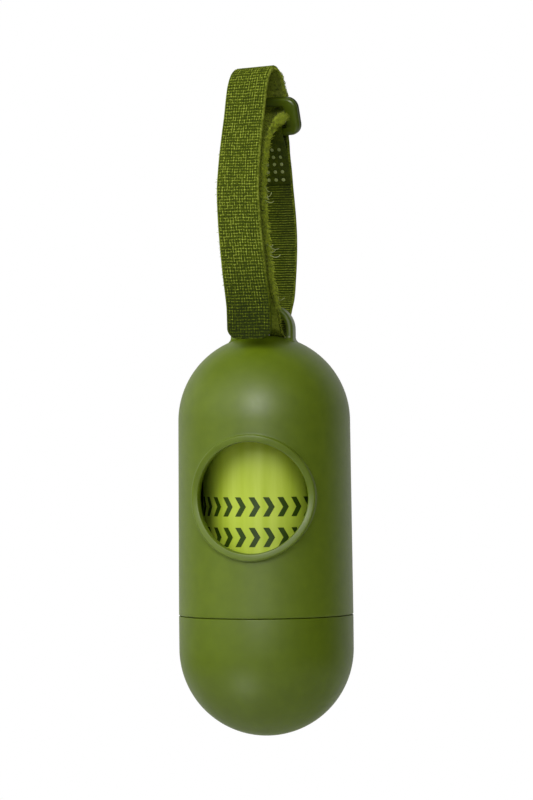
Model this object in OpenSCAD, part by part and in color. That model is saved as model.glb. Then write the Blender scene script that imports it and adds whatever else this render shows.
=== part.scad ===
// Capsule that holds a roll of dog waste bags and hangs from a lead on a hook-and-loop strap.
// The origin is the place in the strap's loop where the lead runs. The capsule hangs below it,
// +Z is up and the bag window faces -Y.

/* [Capsule] */
// Outer diameter of the capsule at the seam
capsule_d = 40; // [39:0.5:44]
// Length of the capsule without the strap eye
capsule_h = 91.8; // [90:0.2:100]
// Height of the seam above the lowest point
seam_h = 27.8; // [26:0.2:30]
// Wall thickness of the shell and the end cap
wall = 2.2; // [2:0.1:2.6]
// Moulding draft on each side of the shell, in degrees
draft = 0.4; // [0.2:0.1:0.8]
// Width of the small bevel above and below the seam
seam_bevel = 0.25; // [0.1:0.05:0.4]

/* [End cap] */
// Height of the cap's neck inside the shell
neck_h = 6; // [4:0.5:8]
// Height of the two friction beads on the neck
bead_h = 0.2; // [0.1:0.05:0.3]
// Radial play between the beads and the shell
bead_play = 0.05; // [0.03:0.01:0.1]

/* [Window] */
// Diameter of the window that the bags come out of
window_d = 25.2; // [20:0.2:26.4]
// Width of the raised rim round the window
rim_w = 1.7; // [1.2:0.1:2.2]
// Height of the rim above the shell
rim_h = 0.9; // [0.5:0.1:1.4]
// Height of the window's centre above the seam
window_h = 27.2; // [24:0.2:28]

/* [Strap eye] */
// Clear width of the eye on the crown
eye_w = 11.3; // [11.2:0.1:13]
// Clear height of the eye above the crown
eye_h = 5.4; // [5.2:0.1:7]
// Thickness of the eye's bar, seen from the front
eye_t = 1.6; // [1.4:0.1:2]
// Depth of the eye's bar, from front to back
eye_depth = 5; // [4:0.1:5.2]
// Outer radius of the eye's shoulders
eye_shoulder = 5.8; // [4:0.1:6]
// Rounding of the bar's edges
eye_edge = 0.6; // [0.3:0.1:0.7]

/* [Bag roll] */
// Diameter of the full roll of bags
roll_d = 28.4; // [24:0.2:29]
// Length of the roll
roll_l = 60; // [50:0.5:61]
// Outer diameter of the card core
core_d = 15; // [12:0.5:18]
// Wall thickness of the card core
core_wall = 1.1; // [0.8:0.1:1.5]
// Thickness of the folded film of one bag
film_t = 0.25; // [0.2:0.05:0.4]
// Length of the first bag's free edge
lip_l = 3; // [2:0.5:4]

/* [Strap] */
// Width of the strap
strap_w = 10.4; // [8:0.1:10.8]
// Thickness of the strap
strap_t = 1.2; // [0.9:0.1:1.3]
// Thickness of the hook tape inside the tail
hook_t = 1.2; // [0.8:0.1:1.4]
// Height from the eye's bar to the buckle's lower bar
loop_h = 40.4; // [38:0.2:50]
// Reach of the loop in front of the capsule's axis
loop_front = 11.4; // [10.5:0.1:12.5]
// Reach of the loop behind the capsule's axis
loop_back = 9.4; // [8.6:0.1:10.4]
// Turn of the strap against the eye at the eye and at the buckle, in degrees
strap_turn = [3, 18]; // [0:1:20]
// Sideways lie of the tail's end against the strap below it
tail_lie = -0.5; // [-1:0.1:1]
// Corner radius of the tail's end
tail_corner = 2.5; // [1:0.1:4]

/* [Buckle] */
// Outer width of the buckle
buckle_w = 18.6; // [16.4:0.1:19]
// Clear width of the buckle's slot
slot_w = 11.8; // [11.8:0.1:12.4]
// Height of the slot between the two bars
slot_h = 4.9; // [4.8:0.1:6]
// Diameter of the lower bar, and height of the upper one
buckle_bar = 2; // [1.6:0.1:2]
// Thickness of the buckle
buckle_t = 2.2; // [1.8:0.1:2.4]
// Lean of the buckle towards the front, in degrees
buckle_lean = 18; // [14:1:22]
// Corner radius of the buckle
buckle_corner = 2.6; // [1.2:0.1:3]

/* [Hidden] */
$fn = 96;

// Room kept between soft pieces, and between pieces that move against each other
play = 0.3;
// Room between pieces of one body that lie on each other
seat = 0.05;
// How far a cut runs past the face that it opens
past = 1;

seam_r = capsule_d / 2;
dome_z = (capsule_h - seam_r - tan(draft) * seam_h) / (1 - tan(draft));
dome_r = capsule_h - dome_z;
rebate_r = seam_r - wall / 2;
bead_r = rebate_r - bead_play;
neck_r = bead_r - bead_h;
bead_round = 0.35;
neck_lead_in = 0.4;
window_z = seam_h + window_h;

eye_z = capsule_h + eye_h + eye_t / 2;
eye_leg = (eye_w + eye_t) / 2;
eye_bend = eye_shoulder - eye_t / 2;
eye_foot = dome_z + sqrt(pow(dome_r - wall / 2, 2) - pow(eye_leg, 2));

lip_r = norm([roll_d / 2, lip_l]);
roll_z = seam_r - sqrt(pow(seam_r - wall - play, 2) - pow(lip_r, 2));
lip_turn = -20;
lip_wrap = 300;

// Height of the lead above the capsule's lowest point
lead_share = 0.8;
lead_z = eye_z + lead_share * loop_h;

// The strap is drawn in its own upright plane as [depth, height], with depth positive to the back.
// A third number, where a point has one, is its sideways lie, positive to the right.
eye_wrap = eye_z - capsule_h - play - strap_t / 2;
eye_point = [0, eye_z];
bar_pitch = slot_h + buckle_bar;
bar_point = [0.1 * bar_pitch, eye_z + loop_h];
hem_play = 0.2;
bar_wrap = buckle_bar / 2 + hem_play + strap_t / 2;
stack = strap_t + hook_t + play + seat;
hook_margin = 0.4;
// Sideways lie of the hem, which the back strand loses on its way to the eye, and of the loose buckle
hem_lie = 0.7;
buckle_lie = 0.75;
// The strap comes up through the slot close to its right side
rise_lie = buckle_lie + (slot_w - strap_w) / 2 - play;
// Length of the buckle's round bar inside each side of the frame
bar_root = 1;
spline_steps = 3;

// Places along the loop, and places near the eye and the buckle as multiples of their own sizes
function loop_point(depth, share) = [depth, eye_z + share * loop_h];
function near_eye(depth, height) = eye_point + eye_wrap * [depth, height];
function near_bar(depth, height) = bar_point + bar_pitch * [depth, height];
// Point of the rise, with its lie as a share of the lie in the slot
function in_rise(depth, height, share) = [each near_bar(depth, height), share * rise_lie];
// Points whose lie goes evenly from one value to another
function aside(points, from, to) = let (n = len(points) - 1)
    [for (i = [0:n]) [each points[i], from + (to - from) * i / n]];

// Hem folded round the buckle's lower bar, from its free edge upwards
hem = [loop_point(0.52 * loop_back - strap_t - play, 0.7),
       loop_point(0.44 * loop_back - strap_t - play, 0.77),
       loop_point(0.33 * loop_back - strap_t - play, 0.86),
       near_bar(-0.06, -0.43),
       for (a = [210:-30:-30]) bar_point + bar_wrap * [cos(a), sin(a)]];
// Single strand at the back, down to the eye
back = [near_bar(0.28, -0.43),
        loop_point(0.33 * loop_back, 0.86),
        loop_point(0.44 * loop_back, 0.77),
        loop_point(0.54 * loop_back, 0.68),
        loop_point(0.67 * loop_back, 0.59),
        loop_point(0.80 * loop_back, 0.5),
        loop_point(0.92 * loop_back, 0.4),
        loop_point(0.99 * loop_back, 0.285),
        loop_point(loop_back, 0.17),
        loop_point(0.97 * loop_back, 0.065),
        near_eye(1.38, -0.04),
        near_eye(0.98, -0.45)];
// Bend through the eye, which rests on the crown and runs round the eye's bar
under = [for (a = [40:-20:-40]) eye_point + eye_wrap * [sin(a), -cos(a)]];
// Stretch in front that the tail's hooks hold
grip = [loop_point(-0.965 * loop_front, 0.19),
        loop_point(-loop_front, 0.35),
        loop_point(-0.99 * loop_front, 0.5),
        loop_point(-0.93 * loop_front, 0.655)];
front = [near_eye(-0.98, -0.45),
         near_eye(-1.42, 0),
         near_eye(-1.77, 0.57),
         each grip,
         loop_point(-0.79 * loop_front, 0.79)];
// Way back through the buckle and up behind its upper bar to the fold
rise = [in_rise(-1.17, -0.58, 0.05), in_rise(-0.93, -0.19, 0.25), in_rise(-0.64, 0.13, 0.55),
        in_rise(-0.32, 0.36, 0.85), in_rise(0, 0.52, 1), in_rise(0.2, 0.74, 0.95), in_rise(0.17, 1.06, 0.7),
        in_rise(0.08, 1.42, 0.4), in_rise(-0.1, 1.78, 0.2), in_rise(-0.42, 2.04, 0.05),
        in_rise(-0.77, 1.88, 0), in_rise(-1, 1.52, 0), in_rise(-1.13, 1.1, 0)];
tail = [near_bar(-1.14, 1.1) - [0, play],
        near_bar(-1.26, 0.49),
        near_bar(-1.39, -0.03),
        near_bar(-1.57, -0.64),
        loop_point(-0.79 * loop_front - 1.15 * stack, 0.79),
        for (i = [3:-1:0]) grip[i] - [stack, 0],
        near_eye(-2.43, 0.57),
        near_eye(-2.28, -0.42),
        near_eye(-2.17, -1.34)];

function turn_at(z) = let (share = min(1, max(0, (z - eye_z) / loop_h)))
    strap_turn[0] + (strap_turn[1] - strap_turn[0]) * share;
function in_strap(across, p, turn) = [across * cos(turn) + p[0] * sin(turn),
                                      p[0] * cos(turn) - across * sin(turn), p[1]];

// Smooth curve through control points
function spline_point(a, b, c, d, t) =
    0.5 * (2 * b + (c - a) * t + (2 * a - 5 * b + 4 * c - d) * t * t + (3 * b - a - 3 * c + d) * t * t * t);
function spline(c) = let (n = len(c) - 1)
    [for (i = [0:n - 1], k = [0:spline_steps - 1])
        spline_point(c[max(i - 1, 0)], c[i], c[i + 1], c[min(i + 2, n)], k / spline_steps), c[n]];
function side_of(p, i) = let (d = p[min(i + 1, len(p) - 1)] - p[max(i - 1, 0)], side = [-d[1], d[0]])
    side / norm(side);

// Left and right edge along the tail, which drifts to one side and ends in rounded corners
function tail_edges(p, half, r) = let (n = len(p) - 1)
    [for (i = [0:n]) let (d = r - min(r, norm(p[i] - p[n])), h = half - r + sqrt(max(0.001, r * r - d * d)))
        [tail_lie * i / n - h, tail_lie * i / n + h]];

// Strip of webbing along a path, between two edges and two offsets from the path
module strip(p, edges, low, high) {
    n = len(p);
    points = [for (i = [0:n - 1])
        let (t = turn_at(p[i][1]), s = side_of(p, i), l = edges[i][0], r = edges[i][1],
             q = [p[i][0], p[i][1]])
        each [in_strap(l, q + low * s, t), in_strap(r, q + low * s, t),
              in_strap(r, q + high * s, t), in_strap(l, q + high * s, t)]];
    sides = [for (i = [0:n - 2], k = [0:3]) let (a = 4 * i + k, b = 4 * i + (k + 1) % 4)
        each [[a, a + 4, b], [b, a + 4, b + 4]]];
    e = 4 * (n - 1);
    polyhedron(points, [each sides, [0, 1, 2], [0, 2, 3], [e + 2, e + 1, e], [e + 3, e + 2, e]]);
}

module rounded_bar(a, b, r) {
    square([a, b - 2 * r], center = true);
    square([a - 2 * r, b], center = true);
    for (x = [-1, 1], y = [-1, 1]) translate([x * (a / 2 - r), y * (b / 2 - r)]) circle(r);
}

// Half outline of the shell, set in from its outer face
module shell_outline(inset, low) {
    polygon([[0, low], [seam_r - inset, low], [seam_r - inset, seam_h],
             [dome_r - inset, dome_z], [0, dome_z]]);
    intersection() {
        translate([0, dome_z]) circle(dome_r - inset);
        translate([0, dome_z]) square(dome_r);
    }
}

module along_window(d) translate([0, 0, window_z]) rotate([90, 0, 0]) cylinder(h = capsule_d, d = d);

module strap_eye() {
    for (side = [0, 1]) mirror([side, 0, 0]) translate([eye_leg - eye_bend, 0, eye_z - eye_bend]) {
        translate([eye_bend, 0, 0]) mirror([0, 0, 1])
            linear_extrude(eye_z - eye_bend - eye_foot) rounded_bar(eye_t, eye_depth, eye_edge);
        rotate([90, 0, 0]) rotate_extrude(angle = 90)
            translate([eye_bend, 0]) rounded_bar(eye_t, eye_depth, eye_edge);
        translate([0, 0, eye_bend]) rotate([0, -90, 0])
            linear_extrude(eye_leg - eye_bend) rounded_bar(eye_t, eye_depth, eye_edge);
    }
}

module body_shell() color("#6b7c33") union() {
    difference() {
        union() {
            rotate_extrude() difference() {
                shell_outline(0, seam_h);
                shell_outline(wall, seam_h - past);
                translate([0, seam_h - past]) square([rebate_r, neck_h + play + past]);
                polygon([[seam_r + past, seam_h - past], [seam_r - seam_bevel, seam_h],
                         [seam_r, seam_h + seam_bevel], [seam_r + past, seam_h + seam_bevel]]);
            }
            difference() {
                intersection() {
                    along_window(window_d + 2 * rim_w);
                    rotate_extrude() shell_outline(-rim_h, seam_h);
                }
                rotate_extrude() shell_outline(wall / 2, seam_h - past);
            }
        }
        along_window(window_d);
    }
    strap_eye();
}

module end_cap() color("#66772f") rotate_extrude() difference() {
    union() {
        intersection() {
            translate([0, seam_r]) circle(seam_r);
            square(seam_r);
        }
        polygon([[0, seam_r], [seam_r, seam_r], [seam_r, seam_h - seam_bevel], [seam_r - seam_bevel, seam_h],
                 [neck_r, seam_h], [neck_r, seam_h + neck_h - neck_lead_in],
                 [neck_r - neck_lead_in, seam_h + neck_h], [0, seam_h + neck_h]]);
        for (share = [0.3, 0.7])
            translate([bead_r - bead_round, seam_h + share * neck_h]) circle(bead_round);
    }
    intersection() {
        translate([0, seam_r]) circle(seam_r - wall);
        square(seam_r);
    }
    translate([0, seam_r]) square([seam_r - wall, capsule_h]);
}

module tube(outer, inner, height) linear_extrude(height) difference() {
    circle(outer);
    circle(inner);
}

module bag_core() color("#b79a6c") translate([0, 0, roll_z]) tube(core_d / 2, core_d / 2 - core_wall, roll_l);

module bag_roll() color("#a5b84a")
    translate([0, 0, roll_z]) tube(roll_d / 2 - film_t - seat, core_d / 2 + seat, roll_l);

// First bag of the roll, with its perforated edge lifted off the bags below
module lead_bag() color("#adc04e") translate([0, 0, roll_z]) rotate([0, 0, lip_turn]) union() {
    rotate_extrude(angle = -lip_wrap) translate([roll_d / 2 - film_t, 0]) square([film_t, roll_l]);
    translate([roll_d / 2 - film_t, 0]) cube([film_t, lip_l, roll_l]);
}

module strap_webbing() color("#6f8130") {
    path = spline([each aside(hem, hem_lie, hem_lie), each aside(back, hem_lie, 0),
                   each aside(under, 0, 0), each aside(front, 0, 0), each rise]);
    strip(path, [for (q = path) [q[2] - strap_w / 2, q[2] + strap_w / 2]], -strap_t / 2, strap_t / 2);
}

module strap_tail() color("#7a8d38") {
    path = spline(tail);
    strip(path, tail_edges(path, strap_w / 2, tail_corner), -strap_t / 2, strap_t / 2);
}

// Hook tape on the tail's inner face, over the stretch that it grips
module hook_tape() color("#5c6b28") {
    path = spline(tail);
    first = 5 * spline_steps;
    last = (len(tail) - 3) * spline_steps;
    edges = tail_edges(path, strap_w / 2 - hook_margin, tail_corner);
    held = [for (i = [first:last]) path[i]];
    strip(held, [for (i = [first:last]) edges[i]], strap_t / 2 + seat, strap_t / 2 + seat + hook_t);
}

module buckle_plate() {
    foot = -buckle_bar / 2;
    size = [buckle_w, bar_pitch + buckle_bar];
    difference() {
        translate([0, foot + size[1] / 2]) rounded_bar(size[0], size[1], buckle_corner);
        translate([-slot_w / 2, foot - past]) square([slot_w, slot_h + buckle_bar + past]);
    }
}

module buckle() color("#4f5e22") translate(in_strap(buckle_lie, bar_point, strap_turn[1]))
    rotate([0, 0, -strap_turn[1]]) rotate([buckle_lean, 0, 0]) {
        translate([0, buckle_t / 2, 0]) rotate([90, 0, 0]) linear_extrude(buckle_t) buckle_plate();
        rotate([0, 90, 0]) cylinder(h = slot_w + 2 * bar_root, d = buckle_bar, center = true);
    }

module hung() translate([0, 0, -lead_z]) children();

hung() body_shell();
hung() end_cap();
hung() bag_core();
hung() bag_roll();
hung() lead_bag();
hung() strap_webbing();
hung() strap_tail();
hung() hook_tape();
hung() buckle();
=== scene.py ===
import math

import bmesh
import bpy
import numpy as np
from mathutils import Matrix, Vector


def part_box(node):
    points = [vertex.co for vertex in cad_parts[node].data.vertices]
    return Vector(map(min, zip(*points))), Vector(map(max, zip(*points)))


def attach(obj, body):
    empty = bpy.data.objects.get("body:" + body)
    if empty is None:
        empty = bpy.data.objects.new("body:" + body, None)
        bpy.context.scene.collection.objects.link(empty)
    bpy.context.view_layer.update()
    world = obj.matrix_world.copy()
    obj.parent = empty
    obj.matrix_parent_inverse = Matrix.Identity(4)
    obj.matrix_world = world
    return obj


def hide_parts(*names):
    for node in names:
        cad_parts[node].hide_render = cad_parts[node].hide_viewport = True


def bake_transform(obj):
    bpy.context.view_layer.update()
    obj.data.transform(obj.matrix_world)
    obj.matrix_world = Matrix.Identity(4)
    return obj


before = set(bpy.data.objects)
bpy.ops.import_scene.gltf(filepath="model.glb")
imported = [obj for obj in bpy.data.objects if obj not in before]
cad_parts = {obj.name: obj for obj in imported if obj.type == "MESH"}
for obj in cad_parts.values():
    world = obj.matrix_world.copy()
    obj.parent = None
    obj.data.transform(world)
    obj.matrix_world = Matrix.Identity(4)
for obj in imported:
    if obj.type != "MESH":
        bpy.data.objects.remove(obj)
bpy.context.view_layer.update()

# Looks of a capsule that holds a roll of dog waste bags and hangs on a hook-and-loop strap.
# Shapes are worked out in millimetres, with heights above the capsule's lowest point.

MM = 0.001
FULL_TURN = 2 * math.pi
rng = np.random.default_rng(7)


def corners(node):
    """Lowest and highest corner of a solid, in millimetres."""
    return [1000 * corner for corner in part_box(node)]


CAP, SHELL, CORE, ROLL = (corners(n) for n in ("end_cap", "body_shell", "bag_core", "bag_roll"))
BASE = CAP[0].z
SEAT = 0.05
PLAY = 0.3

# Capsule
SEAM_R = CAP[1].x
SEAM_H = SHELL[0].z - BASE
WALL = 2.2
DRAFT = math.radians(0.4)
SEAM_ROUND = 0.2
SEAM_GAP = 0.16
REBATE_R = SEAM_R - WALL / 2
NECK_H = CAP[1].z - BASE - SEAM_H
NECK_PLAY = 0.3
NECK_LEAD_IN = 0.4
BEAD_R = REBATE_R - SEAT
BEAD_H = 0.2
BEAD_ROUND = 0.35
BEAD_HALF_ARC = 64
BEAD_PLACES = (0.3, 0.7)

# Window
WINDOW_R = 12.6
WINDOW_Z = SEAM_H + 27.2
RIM_W = 1.7
RIM_H = 0.9
RIM_FILLET = 0.12
RIM_EDGE = 0.4
RIM_SLOPE = 1
RIM_INNER_EDGE = 0.35
RIM_SIDE_RISE = 0.5
RIM_SIDE_DROP = 0.35
RIM_TILT_H = 0.4

# Strap eye
EYE_T = 1.6
EYE_DEPTH = 5.0
EYE_H = 5.4
EYE_W = 11.3
EYE_BEND = 5.0
EYE_EDGE = 0.7
EYE_FLARE = 0.9
EYE_SINK = 0.6 * WALL
EYE_Z = SHELL[1].z - BASE - EYE_T / 2
EYE_LEG = (EYE_W + EYE_T) / 2
CAPSULE_H = EYE_Z - EYE_T / 2 - EYE_H
DOME_Z = (CAPSULE_H - SEAM_R - math.tan(DRAFT) * SEAM_H) / (1 - math.tan(DRAFT))
DOME_R = CAPSULE_H - DOME_Z

# Bag roll, with the film's edges sunk in a spiral on its ends and shallow dents round it
ROLL_Z = ROLL[0].z - BASE
ROLL_L = ROLL[1].z - ROLL[0].z
ROLL_R = ROLL[1].y
CORE_R = CORE[1].y
CORE_WALL = 1.1
CORE_EDGE = 0.2
LAYER_PITCH = 0.7
LAYER_SINK = 0.45
LAYER_OUTER_FADE = 1.0
LAYER_INNER_FADE = 0.6
DENT = 0.35
DENTS_AROUND = 40
DENT_L = 14
DENT_FADE = 3
DENT_SEED = 3

# First bag, with creases by depth, width, length and seed
FILM_T = 0.25
LEAD_R = ROLL_R + SEAT + FILM_T
LIP_L = 3.0
LIP_TURN = math.radians(-20)
LIP_WRAP = math.radians(300)
TOOTH_L = 0.4
TOOTH_PITCH = 1.5
CREASES = ((0.1, 3.5, 26, 5), (0.02, 1.2, 9, 6))
CREASE_FADE = 2

# Print on the first bag: two plain rows below the window's middle
PRINT_ROWS = (WINDOW_Z - 2.2, WINDOW_Z - 9.1)
PRINT_H = 4.4
PRINT_PITCH = 3.3
PRINT_STROKE = 0.42
PRINT_SLANT = 0.6
PRINT_COLOUR = (52, 77, 4)

# Strap
STRAP_W = 10.4
STRAP_T = 1.2
HOOK_T = 1.2
LOOP_H = 40.4
LOOP_FRONT = 11.4
LOOP_BACK = 9.4
TURN_AT_EYE = math.radians(3)
TURN_AT_BAR = math.radians(18)
TAIL_LIE = -0.5
HEM_LIE = 0.7
TAIL_CORNER = 2.5
EYE_WRAP = EYE_Z - CAPSULE_H - PLAY - STRAP_T / 2
STACK = STRAP_T + HOOK_T + PLAY + SEAT

# Buckle, with a lower bar that is round between its ends
BUCKLE_W = 18.6
SLOT_W = 11.8
SLOT_H = 4.9
SLOT_CORNER = 0.6
BAR = 2.0
BAR_GAP = 0.2
BAR_PITCH = SLOT_H + BAR
BAR_POINT = np.array([0.1 * BAR_PITCH, EYE_Z + LOOP_H])
BAR_WRAP = BAR / 2 + BAR_GAP + STRAP_T / 2
ROUND_BAR_FROM = 2.6
ROUND_BAR_FADE = 0.6
ROUND_BAR_HALF = 6.6
ROUND_BAR_END = 0.8
BUCKLE_T = 2.2
BUCKLE_EDGE = 0.75
BUCKLE_LEAN = math.radians(18)
BUCKLE_CORNER = 2.6
BUCKLE_LIE = 0.75
RISE_LIE = BUCKLE_LIE + (SLOT_W - STRAP_W) / 2 - PLAY


# Mesh helpers

def arc(centre, radius, first, last, steps):
    """Points of an arc in a flat profile, with its angles in degrees."""
    a = np.radians(np.linspace(first, last, steps))
    return [(centre[0] + radius * math.cos(t), centre[1] + radius * math.sin(t)) for t in a]


def line(a, b, steps):
    """Points from a to b in a flat profile."""
    return [tuple(p) for p in np.linspace(a, b, steps)]


def lathe(profile, around):
    """Rows of points of a turned shape, with angles from the front to the right."""
    r, z = np.array(profile, float).T
    return np.stack([np.outer(r, np.sin(around)), np.outer(r, -np.cos(around)),
                     np.outer(z, np.ones(len(around)))], -1)


def smoothstep(t):
    t = np.clip(t, 0, 1)
    return t * t * (3 - 2 * t)


def mix(low, high, share):
    return low + (high - low) * share


def quads_of(rows, cols):
    """Quads of a patch with so many rows and columns of points."""
    index = np.arange(rows * cols).reshape(rows, cols)
    corners_of = [index[:-1, :-1], index[:-1, 1:], index[1:, 1:], index[1:, :-1]]
    return np.stack(corners_of, -1).reshape(-1, 4)


def add_object(name, data):
    made = bpy.data.objects.new(name, data)
    bpy.context.scene.collection.objects.link(made)
    return made


def mesh_object(name, patches, values=None, close=False):
    """One mesh from patches of points, joined where they meet. values has a number per point by name."""
    points = np.concatenate([p.reshape(-1, 3) for p in patches])
    counts = np.cumsum([0] + [p.shape[0] * p.shape[1] for p in patches])
    quads = np.concatenate([quads_of(*p.shape[:2]) + n for p, n in zip(patches, counts)])
    mesh = bpy.data.meshes.new(name)
    mesh.from_pydata(((points + [0, 0, BASE]) * MM).tolist(), [], quads.tolist())
    for key, numbers in (values or {}).items():
        layer = mesh.attributes.new(key, "FLOAT", "POINT")
        layer.data.foreach_set("value", numbers.ravel().astype(np.float32))
    edit = bmesh.new()
    edit.from_mesh(mesh)
    bmesh.ops.remove_doubles(edit, verts=edit.verts, dist=1e-6)
    if close:
        bmesh.ops.holes_fill(edit, edges=[e for e in edit.edges if e.is_boundary], sides=0)
    bmesh.ops.recalc_face_normals(edit, faces=edit.faces)
    edit.to_mesh(mesh)
    edit.free()
    mesh.shade_smooth()
    return add_object(name, mesh)


def tubes(name, paths, radii, sides=3):
    """Many thin tubes in one mesh. paths is tubes by points by three, and radii is for all or per point."""
    along = np.gradient(paths, axis=1)
    along /= np.linalg.norm(along, axis=-1, keepdims=True) + 1e-9
    helper = np.where(np.abs(along[..., 2:]) < 0.8, [0.0, 0.0, 1.0], [1.0, 0.0, 0.0])
    a = np.cross(along, helper)
    a /= np.linalg.norm(a, axis=-1, keepdims=True)
    b = np.cross(along, a)
    turn = np.linspace(0, FULL_TURN, sides + 1)
    ring = a[:, :, None] * np.cos(turn)[:, None] + b[:, :, None] * np.sin(turn)[:, None]
    points = paths[:, :, None] + ring * np.broadcast_to(radii, paths.shape[:2])[..., None, None]
    return mesh_object(name, list(points), close=True)


def noise(u, v, seed, cells=64):
    """Smooth noise from 0 to 1 on a repeating grid of random values."""
    table = np.random.default_rng(seed).random((cells, cells))
    i, j = np.floor(u).astype(int), np.floor(v).astype(int)
    s, t = smoothstep(u - i), smoothstep(v - j)
    near = table[i % cells, j % cells] * (1 - t) + table[i % cells, (j + 1) % cells] * t
    far = table[(i + 1) % cells, j % cells] * (1 - t) + table[(i + 1) % cells, (j + 1) % cells] * t
    return near * (1 - s) + far * s


def rounded_section(width, height, radius, steps):
    """Closed outline of a rounded rectangle round the origin."""
    w, h = width / 2 - radius, height / 2 - radius
    outline = []
    for k, (x, y) in enumerate([(w, h), (-w, h), (-w, -h), (w, -h)]):
        outline += arc((x, y), radius, 90 * k, 90 * k + 90, steps)
    return np.array(outline + outline[:1])


# Material helpers

def linear(red, green, blue):
    """Scene colour of a screen colour with parts from 0 to 255."""
    parts = [c / 255 for c in (red, green, blue)]
    return [c / 12.92 if c < 0.04045 else ((c + 0.055) / 1.055) ** 2.4 for c in parts] + [1.0]


def new_material(name):
    material = bpy.data.materials.new(name)
    material.use_nodes = True
    return material, material.node_tree, material.node_tree.nodes["Principled BSDF"]


def put(tree, socket, value):
    """Links a socket to another one or sets its value."""
    if isinstance(value, bpy.types.NodeSocket):
        tree.links.new(value, socket)
    else:
        socket.default_value = value


def dress(tree, surface, looks):
    for key, value in looks.items():
        put(tree, surface.inputs[key], value)


def node(tree, kind, settings=None, **inputs):
    """Adds a node. Inputs are sockets to link or values to set, by name or as in0, in1 and so on."""
    made = tree.nodes.new("ShaderNode" + kind)
    for key, value in (settings or {}).items():
        setattr(made, key, value)
    for key, value in inputs.items():
        put(tree, made.inputs[int(key[2:]) if key[:2] == "in" else key], value)
    return made


def calc(tree, operation, *values):
    return node(tree, "Math", {"operation": operation},
                **{f"in{k}": v for k, v in enumerate(values)}).outputs[0]


def object_place(tree, scale):
    """Place on the object in millimetres times scale, which is one number or three."""
    place = node(tree, "TexCoord").outputs["Object"]
    scales = [1000 * s for s in (scale if hasattr(scale, "__len__") else [scale] * 3)]
    return node(tree, "Mapping", Vector=place, Scale=scales).outputs[0]


def noise_node(tree, scale, detail=3.0):
    return node(tree, "TexNoise", Vector=object_place(tree, scale), Scale=1.0, Detail=detail).outputs["Fac"]


def ramp(tree, value, *stops):
    """Colour ramp with stops of place and screen colour."""
    made = node(tree, "ValToRGB", Fac=value)
    while len(made.color_ramp.elements) < len(stops):
        made.color_ramp.elements.new(0.5)
    for element, (place, colour) in zip(made.color_ramp.elements, stops):
        element.position = place
        element.color = linear(*colour)
    return made.outputs["Color"]


def two_tone(tree, value, low, high):
    return ramp(tree, value, (0.3, low), (0.7, high))


def between(tree, value, low, high):
    """A value from 0 to 1 taken to the range from low to high."""
    return node(tree, "MapRange", Value=value, **{"To Min": low, "To Max": high}).outputs[0]


def ease(tree, value, first, last, top=1.0):
    """Smooth change from 0 where the value is first to top where it is last."""
    return node(tree, "MapRange", {"interpolation_type": "SMOOTHSTEP"}, Value=value,
                **{"From Min": first, "From Max": last, "To Max": top}).outputs[0]


def bump(tree, height, strength, distance):
    return node(tree, "Bump", Height=height, Strength=strength, Distance=distance * MM).outputs[0]


# Materials

def capsule_plastic(name, low, high, gloss):
    """Moulded plastic with a faint mottle and a fine grain."""
    material, tree, surface = new_material(name)
    dress(tree, surface, {
        "Base Color": two_tone(tree, noise_node(tree, scale=0.35, detail=5.0), low, high),
        "Roughness": between(tree, noise_node(tree, scale=1.5), low=0.40, high=0.52),
        "Normal": bump(tree, noise_node(tree, scale=5.0, detail=2.0), strength=0.25, distance=0.02),
        "Specular IOR Level": gloss,
    })
    return material


def plain_plastic(name, low, high, roughness, grain=0.6):
    material, tree, surface = new_material(name)
    dress(tree, surface, {
        "Base Color": two_tone(tree, noise_node(tree, grain), low, high),
        "Roughness": between(tree, noise_node(tree, scale=2.0), *roughness),
        "Normal": bump(tree, noise_node(tree, scale=2.5), strength=0.1, distance=0.02),
    })
    return material


# Pattern of the weave: lines on its rows and columns, which chance breaks into dashes and ticks. The bright
# dashes and ticks are painted highlights on the crests of the threads, and the dips between rows and columns
# are painted shade in the gaps between threads.
LINE_EDGES = (0.22, 0.04)
ROW_STRIDE = 3.7
DASHES_PER_COLUMN = 1.9
DASH_LEVELS = (0.32, 0.66)
TICK_LEVELS = (0.2, 1.0)
RIB_DASH = 0.6
CLOTH_DASH_CUT = -1.5
# Strength of the painted highlights on the crests and of the painted shade in the gaps
DASH_HIGHLIGHT = 0.42
TICK_HIGHLIGHT = 0.44
ROW_GAP_SHADE = -0.28
COLUMN_GAP_SHADE = -0.18
GRAIN = 0.5
PATCHES = 0.24


def on_line(tree, place):
    """Distance to the nearest whole number, and how much of a line there is to be seen."""
    away = calc(tree, "PINGPONG", place, 0.5)
    return away, ease(tree, away, *LINE_EDGES)


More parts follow.
